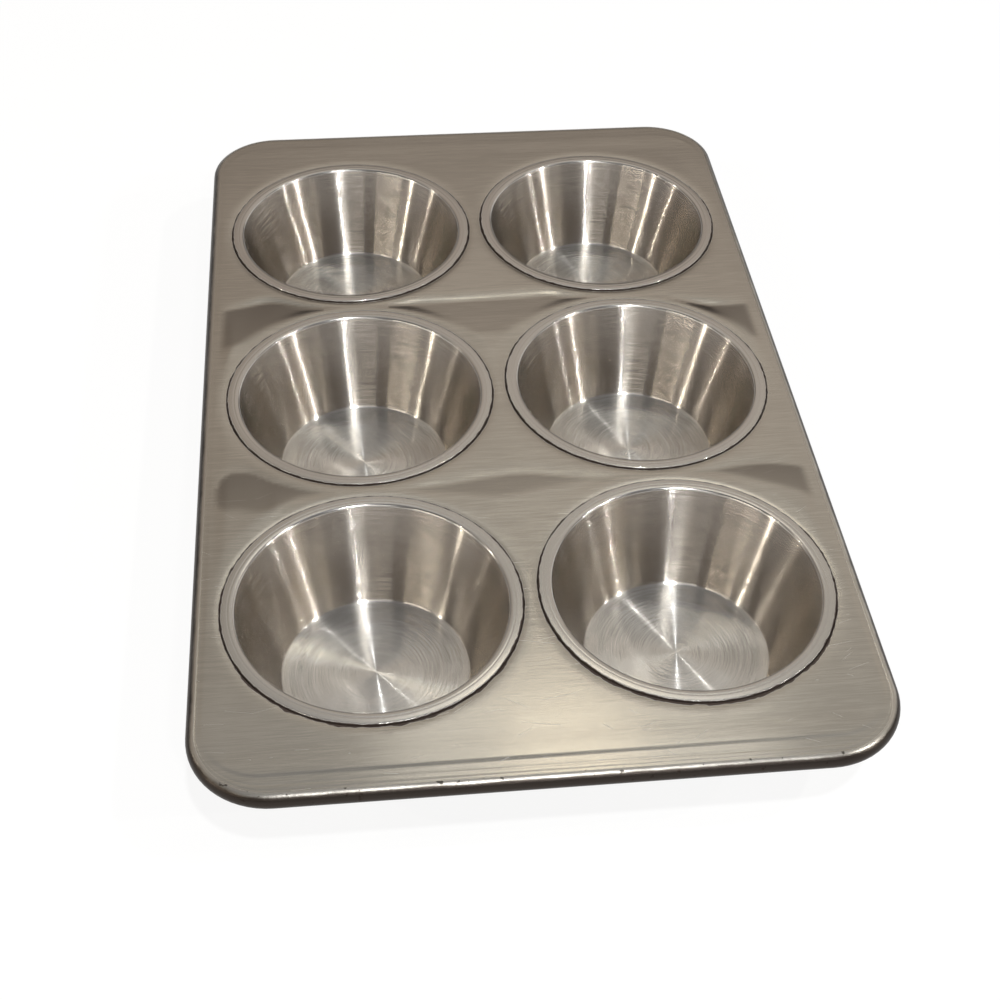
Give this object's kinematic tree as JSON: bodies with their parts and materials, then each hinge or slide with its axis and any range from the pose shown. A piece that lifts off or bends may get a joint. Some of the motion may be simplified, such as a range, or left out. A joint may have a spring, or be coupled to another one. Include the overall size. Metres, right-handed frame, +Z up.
{
  "type": "muffin pan",
  "caption": "Rectangular steel muffin pan: tapered round cups hemmed into a flat brushed panel, its edge rolled over a wire.",
  "frame": {"origin": "on the plane that the cups' floors stand on, under the middle of the pan", "axes": "+Z up out of the cups' mouths, +Y along the long side with three cups, +X along the short side with two"},
  "size_m": [0.166, 0.2682, 0.0275],
  "materials": {
    "panel_steel": "stainless sheet with a straight brushed grain across the pan, fine scratches and a worn bright edge",
    "cup_steel": "stainless sheet brushed round the cup, brighter and glossier than the panel, with a polished rim",
    "wire_steel": "plain drawn wire, dull and a little tarnished"
  },
  "bodies": {
    "root": {"top_panel": "panel_steel", "cup_front_left": "cup_steel", "cup_front_right": "cup_steel", "cup_middle_left": "cup_steel", "cup_middle_right": "cup_steel", "cup_rear_left": "cup_steel", "cup_rear_right": "cup_steel", "rim_wire": "wire_steel"}
  },
  "joints": []
}
